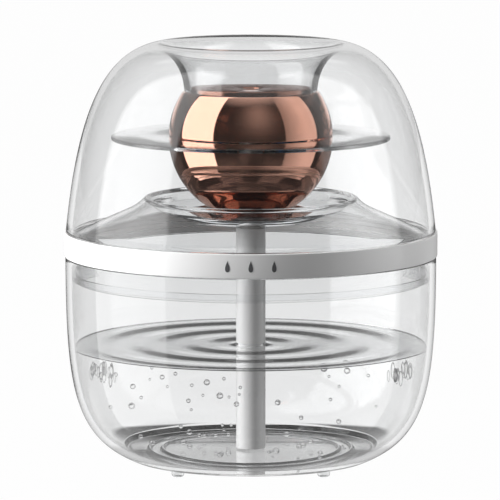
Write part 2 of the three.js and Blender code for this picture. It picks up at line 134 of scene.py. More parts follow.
def glow(tree, azimuth, height, at_azimuth, at_height, spread):
    """A round soft patch of light, 1 in its middle."""
    squares = []
    for angle, middle in ((azimuth, at_azimuth), (height, at_height)):
        away = math_node(tree, "SUBTRACT", angle, middle)
        squares.append(math_node(tree, "POWER", math_node(tree, "DIVIDE", away, spread), 2.0))
    total = math_node(tree, "ADD", *squares)
    return math_node(tree, "EXPONENT", math_node(tree, "MULTIPLY", total, -1.0))


def panel(tree, azimuth, height, across, up, blur):
    """A tall panel, 1 inside its edges."""
    return math_node(tree, "MULTIPLY", soft_window(tree, azimuth, *across, blur),
                     soft_window(tree, height, *up, PANEL_END_BLUR))


def lit(tree, dark, *lights):
    """A dark level with lights added to it, each given as its mask and its strength."""
    level = dark
    for mask, strength in lights:
        level = math_node(tree, "MULTIPLY_ADD", mask, strength, level)
    return level


def brightest(tree, first, *others):
    for other in others:
        first = math_node(tree, "MAXIMUM", first, other)
    return first


def choose(tree, mask, no, yes):
    """One level where a mask is 0 and another where it is 1."""
    return add_node(tree, "ShaderNodeMix", {"Factor": mask, "A": no, "B": yes},
                    data_type="FLOAT").outputs[0]


def inside_reflection(tree, path):
    """1 on a ray that was mirrored inside the clear shells, as off the copper and chrome."""
    mirrored = math_node(tree, "GREATER_THAN", path["Glossy Depth"], 0.5)
    inside = math_node(tree, "GREATER_THAN", path["Transmission Depth"], 2.5)
    return math_node(tree, "MULTIPLY", mirrored, inside)


def set_in_metal(tree, aside, height, left_panel, right_panel, front_glow):
    """The set as copper and chrome show it: a dark room, the panels, a glow and a ceiling.

    Two low cards behind light the underside of the dish. The sweep behind reaches the
    shallow slant of the disc, the saucer and the water.
    """
    low_cards = math_node(tree, "MULTIPLY", soft_window(tree, aside, 146, 171, 2),
                          soft_window(tree, height, -62, -40, 2))
    room = lit(tree, 0.035, (left_panel, 2.4), (right_panel, 0.95), (front_glow, 0.3),
               (low_cards, 1.3))
    ceiling = ramp(tree, height, 45, 65, high=0.7)
    low_sweep = soft_window(tree, height, -1, 7, 1)
    mid_sweep = math_node(tree, "MULTIPLY", soft_window(tree, height, 5, 12, 1.5), 0.5)
    high_sweep = ramp(tree, height, 22, 32)
    sweep = math_node(tree, "ADD", brightest(tree, low_sweep, mid_sweep, high_sweep), 0.08)
    behind = math_node(tree, "MULTIPLY", ramp(tree, aside, 140, 156, high=0.85), sweep)
    return brightest(tree, room, ceiling, behind)


def set_in_shine(tree, aside, height, left_panel, right_panel):
    """The set as the shine on clear walls shows it, dark in front and pale at the sides.

    It turns dark again low at the back, which is what the outline of a wall mirrors.
    """
    beside = ramp(tree, aside, 45, 75, 0.08, 0.75)
    grazed = ramp(tree, aside, 150, 166)
    below = ramp(tree, height, 2, -3, high=0.85)
    outline = math_node(tree, "SUBTRACT", 1.0, math_node(tree, "MULTIPLY", grazed, below))
    walls = lit(tree, math_node(tree, "MULTIPLY", beside, outline),
                (left_panel, 2.0), (right_panel, 1.6))
    overhead = ramp(tree, height, 45, 65, high=0.85)
    table = ramp(tree, height, -4, -30, high=0.75)
    return brightest(tree, walls, overhead, table)


def studio_world():
    world = bpy.data.worlds.new("studio")
    bpy.context.scene.world = world
    world.use_nodes = True
    tree = world.node_tree
    tree.nodes.clear()
    path = add_node(tree, "ShaderNodeLightPath").outputs
    ray = add_node(tree, "ShaderNodeTexCoord").outputs["Generated"]
    x, y, z = add_node(tree, "ShaderNodeSeparateXYZ", {"Vector": ray}).outputs
    forward = math_node(tree, "MULTIPLY", y, -1.0)
    azimuth = math_node(tree, "DEGREES", math_node(tree, "ARCTAN2", x, forward))
    aside = math_node(tree, "ABSOLUTE", azimuth)
    height = math_node(tree, "DEGREES", math_node(tree, "ARCSINE", z))

    left = panel(tree, azimuth, height, **LEFT_PANEL)
    right = math_node(tree, "MULTIPLY", panel(tree, azimuth, height, **RIGHT_PANEL),
                      ramp(tree, azimuth, **RIGHT_PANEL_FADE))
    mirror = set_in_metal(tree, aside, height, left, right,
                          glow(tree, azimuth, height, **FRONT_GLOW))
    shine = set_in_shine(tree, aside, height, left, right)
    # seen through clear walls: white behind the object and to its sides, greyer in front
    clear = ramp(tree, aside, 60, 120, 0.5, 1.0)

    reflected = math_node(tree, "GREATER_THAN", path["Glossy Depth"], 0.5)
    level = choose(tree, reflected, clear, shine)
    level = choose(tree, inside_reflection(tree, path), level, mirror)
    level = choose(tree, path["Is Diffuse Ray"], level, MATT_FILL)
    level = choose(tree, path["Is Camera Ray"], level, WHITE_SWEEP)
    back = add_node(tree, "ShaderNodeBackground", {"Color": (1, 1, 1, 1), "Strength": level})
    add_node(tree, "ShaderNodeOutputWorld", {"Surface": back.outputs[0]})
    world.cycles.sampling_method = "MANUAL"
    world.cycles.sample_map_resolution = 512


def soft_box(name, azimuth, rise, distance, width, tall, power):
    """A large area light aimed at the middle of the object, seen only by matt surfaces."""
    data = bpy.data.lights.new(name, "AREA")
    data.shape = "RECTANGLE"
    data.size = width
    data.size_y = tall
    data.energy = power
    light = bpy.data.objects.new(name, data)
    a, e = math.radians(azimuth), math.radians(rise)
    way = Vector((math.sin(a) * math.cos(e), -math.cos(a) * math.cos(e), math.sin(e)))
    light.location = AIM + distance * way
    light.rotation_euler = way.to_track_quat("Z", "Y").to_euler()
    light.visible_camera = False
    light.visible_glossy = False
    light.visible_transmission = False
    bpy.context.scene.collection.objects.link(light)


def mesh_piece(name, verts, faces):
    """A mesh object, put in the scene."""
    mesh = bpy.data.meshes.new(name)
    mesh.from_pydata(verts, [], faces)
    mesh.validate()
    made = bpy.data.objects.new(name, mesh)
    bpy.context.scene.collection.objects.link(made)
    return made


def new_material(name):
    made = bpy.data.materials.new(name)
    made.use_nodes = True
    made.node_tree.nodes.clear()
    return made, made.node_tree


def shade_under_tank(tree, coord):
    """The floor as the tank's clear floor shows it, with painted shade in its glow: deep behind,
    thin at the sides, and pale again in the middle."""
    across = add_node(tree, "ShaderNodeSeparateXYZ", {"Vector": coord}).outputs["Y"]
    out_from = add_node(tree, "ShaderNodeVectorMath", {0: coord},
                        operation="LENGTH").outputs["Value"]
    rearward = ramp(tree, math_node(tree, "DIVIDE", across, out_from), 0.3, 0.75)
    shade_r = math_node(tree, "MULTIPLY_ADD", rearward, SHADE_MORE_BEHIND, SHADE_R)
    past = math_node(tree, "SUBTRACT", out_from, shade_r)
    deepest = math_node(tree, "MULTIPLY_ADD", rearward, -SHADE_SIDES, SHADE_SIDES)
    return brightest(tree, ramp(tree, past, 0.0, SHADE_EDGE, deepest, FLOOR_WHITE),
                     ramp(tree, out_from, CORE_R, CORE_R + SHADE_EDGE, CORE_WHITE, 0.0))


def add_floor():
    r = FLOOR_REACH
    floor = mesh_piece("studio_floor", [(-r, -r, 0), (r, -r, 0), (r, r, 0), (-r, r, 0)],
                       [(0, 1, 2, 3)])
    paint, tree = new_material("pale_floor")
    coord = add_node(tree, "ShaderNodeTexCoord").outputs["Object"]
    grain = add_node(tree, "ShaderNodeTexNoise", {"Vector": coord, "Scale": 40.0})
    tone = ramp(tree, grain.outputs[0], 0.0, 1.0, 0.004, 0.006)
    path = add_node(tree, "ShaderNodeLightPath").outputs
    through = math_node(tree, "GREATER_THAN", path["Transmission Depth"], 0.5)
    level = choose(tree, through, FLOOR_WHITE, shade_under_tank(tree, coord))
    shade = add_node(tree, "ShaderNodeBsdfPrincipled", {
        "Base Color": tone, "Roughness": 0.9, "Specular IOR Level": 0.0,
        "Emission Color": (1, 1, 1, 1), "Emission Strength": level})
    # mirrors look past the table to the panels
    gone = add_node(tree, "ShaderNodeBsdfTransparent")
    mix = add_node(tree, "ShaderNodeMixShader", {
        0: inside_reflection(tree, path), 1: shade.outputs[0], 2: gone.outputs[0]})
    add_node(tree, "ShaderNodeOutputMaterial", {"Surface": mix.outputs[0]})
    floor.data.materials.append(paint)
    floor.visible_glossy = False
    floor.visible_diffuse = False


add_camera()
studio_world()
soft_box("key_left", -76, 14, 1.1, 0.4, 1.3, 26.0)
soft_box("fill_right", 100, 14, 1.3, 0.6, 1.2, 5.6)
soft_box("top", 20, 80, 1.2, 1.0, 1.0, 3.0)
add_floor()
scene = bpy.context.scene
scene.view_settings.view_transform = "Standard"
scene.cycles.max_bounces = 32
scene.cycles.transmission_bounces = 32
scene.cycles.glossy_bounces = 12
scene.cycles.transparent_max_bounces = 32


# ==============================================
# Tank: a thick clear moulded barrel, polished inside and out. Its rounded base is flat
# underneath, two low ridges stiffen its floor, and a thinner lip at the top takes the head.
# ==============================================
TANK_WALL = 3.0 * MM
TANK_FLOOR = 2.6 * MM
TANK_FLAT_R = 61.5 * MM
LIP_H = 3.5 * MM
LIP_R = 93.3 * MM
WELL_R = 64.0 * MM
BASE_FLAT_R = 47.0 * MM
BASE_RISE = 0.6 * MM
RIDGES = (52.2 * MM, 45.4 * MM)
RIDGE_H = 1.2 * MM
RIDGE_HALF_FOOT = 1.2 * MM
RIDGE_HALF_TOP = 0.6 * MM
# the pulls that bend the outline: how far in from the side, and up what share of the barrel
LOW_PULL_IN = 3.4 * MM
LOW_PULL_UP = 0.12
HIGH_PULL_UP = 0.37
TANK_CORNER = 0.6 * MM
CLEAR_TINT = (0.93, 0.933, 0.935)
LARGE_SIDES = 180
NO_SIZE = 1e-7


def curve(start, pull1, pull2, end, steps):
    """Points of a cubic curve in the plane, ends included."""
    t = np.linspace(0, 1, steps + 1)[:, None]
    start, pull1, pull2, end = map(np.array, (start, pull1, pull2, end))
    points = ((1 - t) ** 3 * start + 3 * (1 - t) ** 2 * t * pull1
              + 3 * (1 - t) * t ** 2 * pull2 + t ** 3 * end)
    return [tuple(p) for p in points]


def offset(points, distance):
    """The same curve moved to the left of its travel."""
    p = np.array(points)
    way = np.gradient(p, axis=0)
    way /= np.linalg.norm(way, axis=1)[:, None]
    return [tuple(q) for q in p + distance * np.stack([-way[:, 1], way[:, 0]], 1)]


def soften(profile, radius, steps=4, sharpest=22):
    """Rounds the corners of a closed profile, as a mould does."""
    out = []
    count = len(profile)
    for i, here in enumerate(profile):
        here = np.array(here)
        before = np.array(profile[i - 1]) - here
        after = np.array(profile[(i + 1) % count]) - here
        a, b = np.linalg.norm(before), np.linalg.norm(after)
        if min(a, b) < NO_SIZE or here[0] < NO_SIZE:
            out.append(tuple(here))
            continue
        turn = 180 - math.degrees(math.acos(np.clip(before @ after / (a * b), -1, 1)))
        if turn < sharpest:
            out.append(tuple(here))
            continue
        reach = min(radius, 0.45 * a, 0.45 * b)
        p0, p2 = here + before / a * reach, here + after / b * reach
        for k in range(steps + 1):
            t = k / steps
            out.append(tuple((1 - t) ** 2 * p0 + 2 * t * (1 - t) * here + t ** 2 * p2))
    return out


def turned(name, profile, sides=LARGE_SIDES, sharp=40):
    """A mesh object: a closed profile of (radius, height) turned about Z."""
    p = np.array(profile)
    area = np.sum(p[:, 0] * np.roll(p[:, 1], -1) - np.roll(p[:, 0], -1) * p[:, 1])
    if area < 0:
        p = p[::-1]
    verts, rows = [], []
    for r, z in p:
        if r < NO_SIZE:
            rows.append([len(verts)] * sides)
            verts.append((0, 0, z))
        else:
            rows.append(list(range(len(verts), len(verts) + sides)))
            verts += [(r * math.cos(a), r * math.sin(a), z)
                      for a in np.arange(sides) * 2 * math.pi / sides]
    faces = []
    for i, low in enumerate(rows):
        high = rows[(i + 1) % len(rows)]
        if low[0] == low[1] and high[0] == high[1]:
            continue
        for k in range(sides):
            n = (k + 1) % sides
            face = [low[k], low[n], high[n], high[k]]
            faces.append([v for j, v in enumerate(face) if v != face[j - 1]])
    made = mesh_piece(name, verts, faces)
    made.data.shade_smooth()
    made.data.set_sharp_from_angle(angle=math.radians(sharp))
    return made


def wear_group():
    """Fine handling marks: a rubbed roughness and a faint surface wave."""
    group = bpy.data.node_groups.new("handling_marks", "ShaderNodeTree")
    face = group.interface
    for name, default in (("Scale", 60.0), ("Rough Low", 0.02), ("Rough High", 0.06)):
        socket = face.new_socket(name, in_out="INPUT", socket_type="NodeSocketFloat")
        socket.default_value = default
    face.new_socket("Roughness", in_out="OUTPUT", socket_type="NodeSocketFloat")
    face.new_socket("Wave", in_out="OUTPUT", socket_type="NodeSocketFloat")
    given = add_node(group, "NodeGroupInput").outputs
    coord = add_node(group, "ShaderNodeTexCoord").outputs["Object"]
    smear = add_node(group, "ShaderNodeTexNoise", {
        "Vector": coord, "Scale": given["Scale"], "Detail": 5.0, "Roughness": 0.6})
    rough = ramp(group, smear.outputs[0], 0.35, 0.7, given["Rough Low"], given["Rough High"])
    swell = add_node(group, "ShaderNodeTexNoise", {
        "Vector": coord, "Scale": math_node(group, "MULTIPLY", given["Scale"], 0.4),
        "Detail": 1.0})
    add_node(group, "NodeGroupOutput", {"Roughness": rough, "Wave": swell.outputs[0]})
    return group


handling_marks = wear_group()


def marks(tree, scale, low, high):
    """The handling marks in a material, with its own scale and span of roughness."""
    used = add_node(tree, "ShaderNodeGroup", node_tree=handling_marks)
    used.inputs["Scale"].default_value = scale
    used.inputs["Rough Low"].default_value = low
    used.inputs["Rough High"].default_value = high
    return used.outputs


def relief(tree, height, strength, distance):
    """A normal raised and sunk by a pattern."""
    return add_node(tree, "ShaderNodeBump", {
        "Height": height, "Strength": strength, "Distance": distance}).outputs[0]


def clear_material(name, tint, ior=1.46, wave=0.004, rough=(0.0, 0.012), shadow=0.93):
    """Clear polished plastic. Matt surfaces and shadows see straight through it."""
    made, tree = new_material(name)
    mark = marks(tree, 45.0, *rough)
    glass = add_node(tree, "ShaderNodeBsdfPrincipled", {
        "Base Color": (*tint, 1), "Roughness": mark["Roughness"], "IOR": ior,
        "Normal": relief(tree, mark["Wave"], wave, 0.02), "Transmission Weight": 1.0})
    path = add_node(tree, "ShaderNodeLightPath").outputs
    open_way = math_node(tree, "MAXIMUM", path["Is Shadow Ray"], path["Is Diffuse Ray"])
    through = add_node(tree, "ShaderNodeBsdfTransparent", {
        "Color": (shadow, shadow, shadow, 1)})
    mix = add_node(tree, "ShaderNodeMixShader", {
        0: open_way, 1: glass.outputs[0], 2: through.outputs[0]})
    add_node(tree, "ShaderNodeOutputMaterial", {"Surface": mix.outputs[0]})
    return made


tank_low, tank_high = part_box("tank_shell")
tank_r = tank_high.x
shoulder_z = tank_high.z - LIP_H
barrel_h = shoulder_z - tank_low.z
tank_floor_z = tank_low.z + TANK_FLOOR
tank_outline = curve(
    (TANK_FLAT_R, tank_low.z + BASE_RISE),
    (tank_r - LOW_PULL_IN, tank_low.z + LOW_PULL_UP * barrel_h),
    (tank_r, tank_low.z + HIGH_PULL_UP * barrel_h),
    (tank_r, shoulder_z), 60)
tank_inside = [q for q in offset(tank_outline, TANK_WALL) if q[0] > WELL_R + 0.4 * MM]
ridged_floor = [(WELL_R, tank_floor_z)]
for ridge_r in RIDGES:
    ridged_floor += [(ridge_r + RIDGE_HALF_FOOT, tank_floor_z),
                     (ridge_r + RIDGE_HALF_TOP, tank_floor_z + RIDGE_H),
                     (ridge_r - RIDGE_HALF_TOP, tank_floor_z + RIDGE_H),
                     (ridge_r - RIDGE_HALF_FOOT, tank_floor_z)]
tank = turned("clear_tank", soften([
    (0, tank_low.z),
    (BASE_FLAT_R, tank_low.z),
    *tank_outline,
    (LIP_R, shoulder_z),
    (LIP_R, tank_high.z),
    (tank_r - TANK_WALL, tank_high.z),
    *tank_inside[::-1],
    *ridged_floor,
    (0, tank_floor_z),
], TANK_CORNER))
tank.data.materials.append(clear_material("clear_tank_plastic", CLEAR_TINT))
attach(tank, "tank")
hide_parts("tank_shell")


# ==============================================
# Feet: four turned pads of clear silicone, glued in a square under the flat of the tank, so
# that its base stands clear of the table.
# ==============================================
FOOT_COUNT = 4
FOOT_CORNER = 0.5 * MM
FOOT_BEVEL_H = 0.9 * MM


def new_tree(name, inputs):
    """A geometry tree with named inputs; returns it and the outputs of its input node."""
    tree = bpy.data.node_groups.new(name, "GeometryNodeTree")
    tree.interface.new_socket("Geometry", in_out="OUTPUT", socket_type="NodeSocketGeometry")
    for label, kind, default in inputs:
        socket = tree.interface.new_socket(
            label, in_out="INPUT", socket_type="NodeSocket" + kind)
        if default is not None:
            socket.default_value = default
    return tree, add_node(tree, "NodeGroupInput").outputs


def made_plain(piece):
    """The piece with its modifiers worked into a plain mesh."""
    bpy.context.view_layer.update()
    seen = piece.evaluated_get(bpy.context.evaluated_depsgraph_get())
    piece.data = bpy.data.meshes.new_from_object(seen)
    piece.modifiers.clear()
    return piece


def run_tree(name, tree, values):
    """A plain mesh object: what a tree makes with its inputs set by identifier."""
    base = mesh_piece(name, [], [])
    modifier = base.modifiers.new("nodes", "NODES")
    modifier.node_group = tree
    for item in tree.interface.items_tree:
        if item.in_out == "INPUT" and item.name in values:
            modifier[item.identifier] = values[item.name]
    return made_plain(base)


def close_tree(tree, instances, material):
    real = add_node(tree, "GeometryNodeRealizeInstances", {"Geometry": instances})
    painted = add_node(tree, "GeometryNodeSetMaterial", {
        "Geometry": real.outputs[0], "Material": material})
    add_node(tree, "NodeGroupOutput", {"Geometry": painted.outputs[0]})


def square_of_feet():
    tree, given = new_tree("square_of_feet", [
        ("Pad", "Object", None), ("Material", "Material", None),
        ("Count", "Int", FOOT_COUNT), ("Circle Radius", "Float", 0.052)])
    circle = add_node(tree, "GeometryNodeMeshCircle", {
        "Vertices": given["Count"], "Radius": given["Circle Radius"]})
    turn = add_node(tree, "GeometryNodeTransform", {
        "Geometry": circle.outputs[0], "Rotation": (0, 0, math.pi / FOOT_COUNT)})
    pad = add_node(tree, "GeometryNodeObjectInfo", {"Object": given["Pad"]})
    copies = add_node(tree, "GeometryNodeInstanceOnPoints", {
        "Points": turn.outputs[0], "Instance": pad.outputs["Geometry"]})
    close_tree(tree, copies.outputs[0], given["Material"])
    return tree


foot_low, foot_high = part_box("foot_1")
foot_r = (foot_high.x - foot_low.x) / 2
foot_centre = (foot_low + foot_high) / 2
pad = turned("foot_pad", soften([
    (0, 0), (foot_r - FOOT_CORNER, 0), (foot_r, FOOT_BEVEL_H), (foot_r, foot_high.z),
    (0, foot_high.z)], FOOT_CORNER), sides=48)
silicone = clear_material("clear_silicone", (0.9, 0.91, 0.915), 1.41, 0.02, (0.12, 0.2))
feet = run_tree("feet", square_of_feet(), {
    "Pad": pad, "Material": silicone, "Count": FOOT_COUNT,
    "Circle Radius": math.hypot(foot_centre.x, foot_centre.y)})
bpy.data.objects.remove(pad)
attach(feet, "tank")
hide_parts(*[f"foot_{number}" for number in range(1, FOOT_COUNT + 1)])


# ==============================================
# Water: the pool's surface, with the rings that the running atomizer sends out from the
# wick tube. It climbs a little where it meets the tube and the tank's wall.
# ==============================================
WATER_Z = 62.4 * MM
WATER_PLAY = 0.1 * MM
SKIN_DEPTH = 0.25 * MM
RING_PITCH = 27.0 * MM
FIRST_CREST_R = 25.0 * MM
RING_HEIGHT = 0.16 * MM
# how far from the wall and from the tube the rings have died down
CALM_BY_WALL = 10 * MM
CALM_BY_TUBE = 4 * MM
# how high the water climbs, and over what width it falls off
WALL_CLIMB = (0.2 * MM, 0.7 * MM)
TUBE_CLIMB = (0.8 * MM, 0.8 * MM)
tube_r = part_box("wick_tube")[1].x
inner_wall = np.array(tank_inside)


def wall_r(z):
    """Radius of the tank's inner wall at a height."""
    return float(np.interp(z, inner_wall[:, 1], inner_wall[:, 0]))


def water_surface():
    rim_r = wall_r(WATER_Z) - WATER_PLAY
    root_r = tube_r + WATER_PLAY
    radii = np.linspace(root_r, rim_r, 170)

    def height(r):
        from_wall, from_tube = rim_r - r, r - tube_r
        calm = np.clip(from_wall / CALM_BY_WALL, 0, 1) * np.clip(from_tube / CALM_BY_TUBE, 0, 1)
        climb = sum(high * np.exp(-away / width) for away, (high, width) in (
            (from_wall, WALL_CLIMB), (from_tube, TUBE_CLIMB)))
        wave = np.cos(2 * math.pi * (r - FIRST_CREST_R) / RING_PITCH)
        return WATER_Z + RING_HEIGHT * calm * wave + climb
    top = [(r, height(r)) for r in radii]
    under = [(rim_r, WATER_Z - SKIN_DEPTH), (root_r, WATER_Z - SKIN_DEPTH)]
    return turned("water_surface", top + under, sides=200, sharp=60)


water = water_surface()
water_material = clear_material("water", (0.97, 0.98, 0.985), 1.333, 0.0, (0.0, 0.004))
water.data.materials.append(water_material)
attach(water, "tank")


# ==============================================
# Bubbles: air that the atomizer's current carries down. They cling to the tube and to the
# tank's wall and floor, and a few long ones are drawn out under the rim of the water.
# ==============================================
def scattered_bubbles():
    """Balls on a ring-shaped region, their turn, height and size drawn at random."""
    tree, given = new_tree("scattered_bubbles", [
        ("Material", "Material", None), ("Count", "Int", 20), ("Seed", "Int", 1),
        ("Near Radius", "Float", 0.05), ("Far Radius", "Float", 0.06),
        ("Low", "Float", 0.01), ("High", "Float", 0.05),
        ("From Turn", "Float", 0.0), ("To Turn", "Float", 6.283),
        ("Smallest", "Float", 0.0006), ("Largest", "Float", 0.0018),
        ("Stretch", "Float", 1.0)])

    def drawn(low, high, salt):
        seed = add_node(tree, "ShaderNodeMath", {0: given["Seed"], 1: salt}, operation="ADD")
        value = add_node(tree, "FunctionNodeRandomValue", data_type="FLOAT")
        made = [socket for socket in value.inputs if socket.type == "VALUE"]
        link(tree, low, made[0])
        link(tree, high, made[1])
        link(tree, seed.outputs[0], value.inputs["Seed"])
        return next(socket for socket in value.outputs if socket.type == "VALUE")

    turn = drawn(given["From Turn"], given["To Turn"], 11.0)
    reach = drawn(given["Near Radius"], given["Far Radius"], 23.0)
    place = add_node(tree, "ShaderNodeCombineXYZ", {
        "X": math_node(tree, "MULTIPLY", reach, math_node(tree, "COSINE", turn)),
        "Y": math_node(tree, "MULTIPLY", reach, math_node(tree, "SINE", turn)),
        "Z": drawn(given["Low"], given["High"], 37.0)})
    points = add_node(tree, "GeometryNodePoints", {
        "Count": given["Count"], "Position": place.outputs[0]})
    ball = add_node(tree, "GeometryNodeMeshIcoSphere", {"Radius": 1.0, "Subdivisions": 3})
    round_ball = add_node(tree, "GeometryNodeSetShadeSmooth", {
        "Geometry": ball.outputs["Mesh"]})
    size = drawn(given["Smallest"], given["Largest"], 53.0)
    shape = add_node(tree, "ShaderNodeCombineXYZ", {
        "X": size, "Y": size, "Z": math_node(tree, "MULTIPLY", size, given["Stretch"])})
    copies = add_node(tree, "GeometryNodeInstanceOnPoints", {
        "Points": points.outputs[0], "Instance": round_ball.outputs[0],
        "Scale": shape.outputs[0]})
    close_tree(tree, copies.outputs[0], given["Material"])
    return tree


def two_tones(tree, share, first, second):
    """A colour that runs from first to second as share goes from 0 to 1."""
    blend = add_node(tree, "ShaderNodeMix", data_type="RGBA")
    for socket in blend.inputs:
        if socket.type == "RGBA":
            socket.default_value = (*(first if socket.name == "A" else second), 1)
    link(tree, share, blend.inputs["Factor"])
    return next(socket for socket in blend.outputs if socket.type == "RGBA")


bubble_tree = scattered_bubbles()
bubble_material = clear_material("bubble", (0.9, 0.92, 0.93), 1.3, 0.0, (0.0, 0.004))
# light leaves a bubble's edge sideways, so the edge is painted dark in its base colour, a
# painted shade, and its middle is left clear
bubble_nodes = bubble_material.node_tree
painted_edge_shade = add_node(bubble_nodes, "ShaderNodeLayerWeight", {"Blend": 0.6}).outputs["Facing"]
link(bubble_nodes, two_tones(bubble_nodes, painted_edge_shade, (1.0, 1.0, 1.0), (0.0, 0.0, 0.0)),
     bubble_nodes.nodes["Principled BSDF"].inputs["Base Color"])


def bubbles(name, count, seed, radii, heights, sizes, turns=(0, 360), stretch=1.0):
    """One group of bubbles; its turns are counted in degrees from the right side."""
    group = run_tree(name, bubble_tree, {
        "Material": bubble_material, "Count": count, "Seed": seed,
        "Near Radius": radii[0], "Far Radius": radii[1],
        "Low": heights[0], "High": heights[1],
        "From Turn": math.radians(turns[0]), "To Turn": math.radians(turns[1]),
        "Smallest": sizes[0], "Largest": sizes[1], "Stretch": stretch})
    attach(group, "tank")


FRONT_HALF = (180, 360)
LOW_BUBBLE_Z = 30 * MM
low_wall = wall_r(LOW_BUBBLE_Z)
high_wall = wall_r(50 * MM)
floor_up = tank_floor_z + RIDGE_H
bubbles("bubbles_by_tube", 14, seed=4, radii=(tube_r + 1.3 * MM, tube_r + 2.4 * MM),
        heights=(WATER_Z - 12 * MM, WATER_Z - 1.5 * MM), sizes=(0.5 * MM, 1.1 * MM),
        turns=FRONT_HALF)
bubbles("bubbles_by_wall", 34, seed=9, radii=(low_wall - 34 * MM, low_wall - 3 * MM),
        heights=(LOW_BUBBLE_Z, WATER_Z - 3 * MM), sizes=(0.6 * MM, 1.7 * MM),
        turns=FRONT_HALF)
bubbles("bubbles_on_floor", 34, seed=15, radii=(20 * MM, WELL_R - 5 * MM),
        heights=(floor_up + 1.9 * MM, floor_up + 4 * MM), sizes=(0.6 * MM, 1.8 * MM))
for side, seed, first in (("left", 21, 200), ("right", 27, 322)):
    bubbles(f"drawn_bubbles_{side}", 18, seed,
            radii=(high_wall - 6 * MM, high_wall - 3.4 * MM),
            heights=(WATER_Z - 12 * MM, WATER_Z - 6 * MM), sizes=(0.6 * MM, 1.1 * MM),
            turns=(first, first + 18), stretch=4.0)


# ==============================================
# Band: a slim white moulded ring that clamps the partition's flange and hides the joint of
# tank and dome. A row of three pressed drops marks its front.
# ==============================================
def matt_material(name, color, rough, mark_scale=80.0, bump=0.03, coat=0.0, metal=0.0,
                  spread=0.06, shade=0.04):
    """A moulded or plated surface: a tone that drifts a little, and a rubbed gloss."""
    made, tree = new_material(name)
    mark = marks(tree, mark_scale, max(rough - spread, 0.0), rough + spread)
    tone = two_tones(tree, mark["Wave"], [c * (1 - shade) for c in color], color)
    shader = add_node(tree, "ShaderNodeBsdfPrincipled", {
        "Base Color": tone, "Roughness": mark["Roughness"], "Metallic": metal,
        "Coat Weight": coat, "Coat Roughness": 0.08,
        "Normal": relief(tree, mark["Wave"], bump, 0.001)})
    add_node(tree, "ShaderNodeOutputMaterial", {"Surface": shader.outputs[0]})
    return made


def ring_section(r_in, r_out, low_z, high_z):
    """Profile of a plain ring or sleeve."""
    return [(r_in, low_z), (r_out, low_z), (r_out, high_z), (r_in, high_z)]


BAND_WALL = 1.4 * MM
BAND_CORNER = 0.5 * MM
band_low, band_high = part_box("band_ring")
band_r = band_high.x
band = turned("white_band", soften(ring_section(
    band_r - BAND_WALL, band_r, band_low.z, band_high.z), BAND_CORNER, steps=5), sides=240)
band.data.materials.append(
    matt_material("white_band_plastic", (0.9, 0.9, 0.9), 0.34, coat=0.2))
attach(band, "head")
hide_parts("band_ring")


DROP_COUNT = 3
DROP_PITCH = 11.5 * MM
DROP_W = 3.2 * MM
DROP_H = 5.6 * MM
DROP_PROUD = 0.12 * MM
DROP_SUNK = 0.1 * MM
DROP_POINT = 1.4
band_z = (band_low.z + band_high.z) / 2


def drop_outline(steps=28):
    """A drop: a round belly that draws in to a point at the top."""
    points = []
    for k in range(steps):
        a = 2 * math.pi * k / steps
        points.append((DROP_W / 2 * math.sin(a) * math.sin(a / 2) ** DROP_POINT,
                       DROP_H / 2 * math.cos(a)))
    return points


def face_out(piece):
    """Turns the faces of a closed mesh outwards."""
    work = bmesh.new()
    work.from_mesh(piece.data)
    bmesh.ops.recalc_face_normals(work, faces=work.faces)
    work.to_mesh(piece.data)
    work.free()


def pressed_drops():
    """The drops, bent round the band's front."""
    verts, faces = [], []
    outline = drop_outline()
    count = len(outline)
    for number in range(DROP_COUNT):
        across = (number - (DROP_COUNT - 1) / 2) * DROP_PITCH
        base = len(verts)
        for r in (band_r - DROP_SUNK, band_r + DROP_PROUD):
            for x, z in outline:
                turn = (across + x) / band_r
                verts.append((r * math.sin(turn), -r * math.cos(turn), band_z + z))
        back = [base + k for k in range(count)]
        front = [base + count + k for k in range(count)]
        faces += [back[::-1], front]
        faces += [(back[k], back[(k + 1) % count], front[(k + 1) % count], front[k])
                  for k in range(count)]
    made = mesh_piece("band_drops", verts, faces)
    face_out(made)
    return made


drops = pressed_drops()
drops.data.materials.append(matt_material("grey_print", (0.1, 0.1, 0.105), 0.45))
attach(drops, "head")


# ==============================================
# Partition: one clear moulding. Its plug skirt drops into the tank, its flange is clamped
# in the band, and its cone rises to a rounded saucer around the ball. The dish is bonded
# into the hole in the saucer's middle.
# ==============================================
STEP_R = 91.6 * MM
SKIRT_R = 89.2 * MM
PARTITION_WALL = 2.2 * MM
SKIRT_TAPER = 0.4 * MM
SEAT_PLAY = 0.3 * MM
FLANGE_H = 3.0 * MM
STEP_H = 3.6 * MM
PARTITION_CORNER = 0.7 * MM
SAUCER_R = 54.6 * MM
SAUCER_RIM_W = PARTITION_WALL + 0.4 * MM
SAUCER_EDGE = 0.8 * MM
# where the cone bends up to the saucer's rim: how far out from it, and up what share of the
# rise from the step
BEND = ((8.4 * MM, 0.645), (4.2 * MM, 0.75), (1.2 * MM, 0.88))
BOWL_WALL = 1.5 * MM
BOWL_PLAY = 0.4 * MM
BOWL_COAT_R = SAUCER_R - 4.2 * MM
